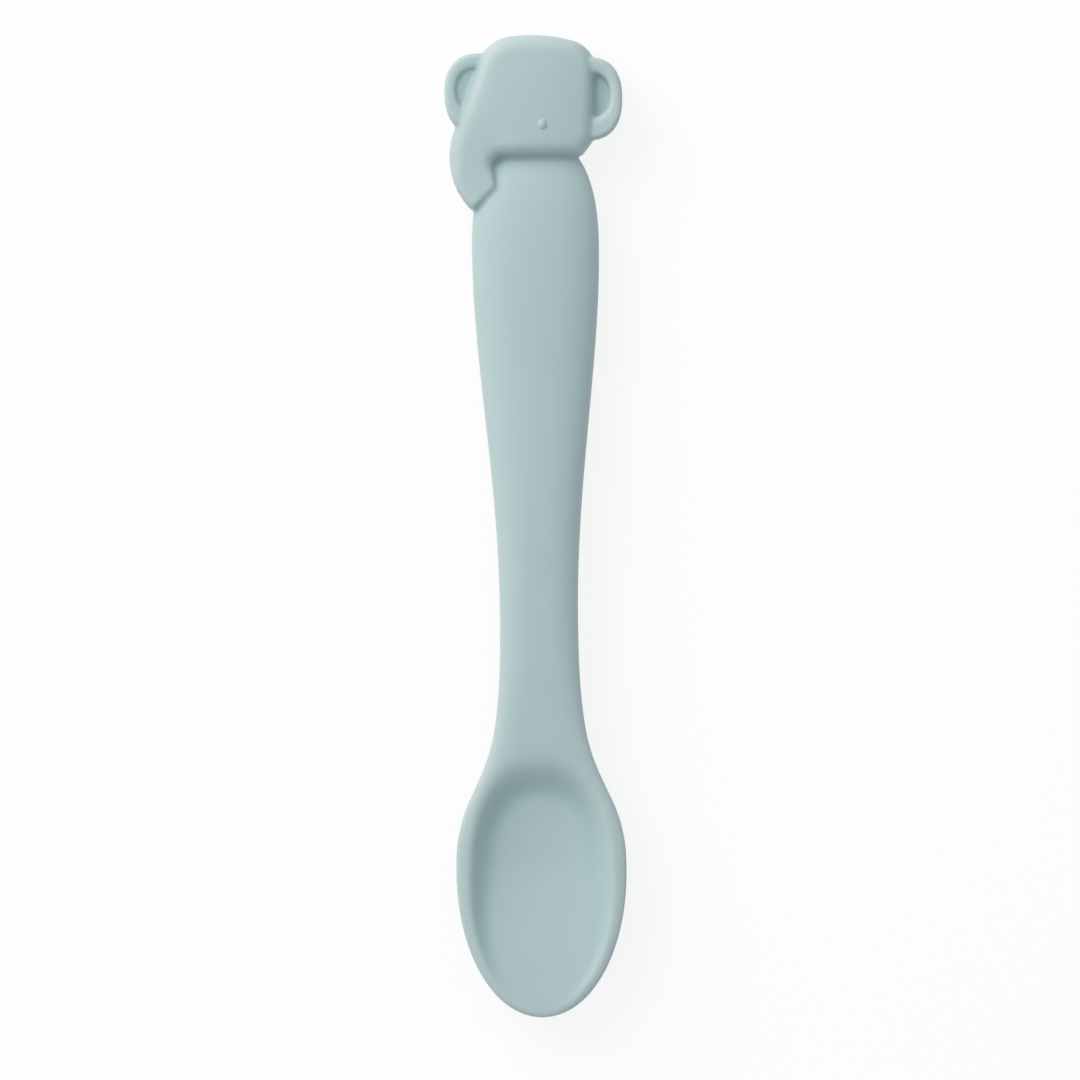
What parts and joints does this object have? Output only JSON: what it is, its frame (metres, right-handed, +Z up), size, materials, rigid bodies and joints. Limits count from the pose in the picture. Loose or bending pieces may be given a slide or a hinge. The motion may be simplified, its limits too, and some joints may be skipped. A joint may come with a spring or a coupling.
{
  "type": "baby spoon",
  "caption": "Soft baby spoon with an oval bowl, a slim neck, a broad rounded grip and an elephant's head on its end.",
  "frame": {"origin": "under the middle of the spoon, on the table that it lies on", "axes": "+Z up out of the bowl, +Y along the spoon from the bowl's tip to the head, +X across to the right of the head as seen from above"},
  "size_m": [0.0266, 0.146, 0.0101],
  "materials": {
    "silicone": "matte",
    "nylon": "satin"
  },
  "bodies": {
    "root": {"silicone_body": "silicone", "stiffener_core": "nylon"}
  },
  "joints": []
}
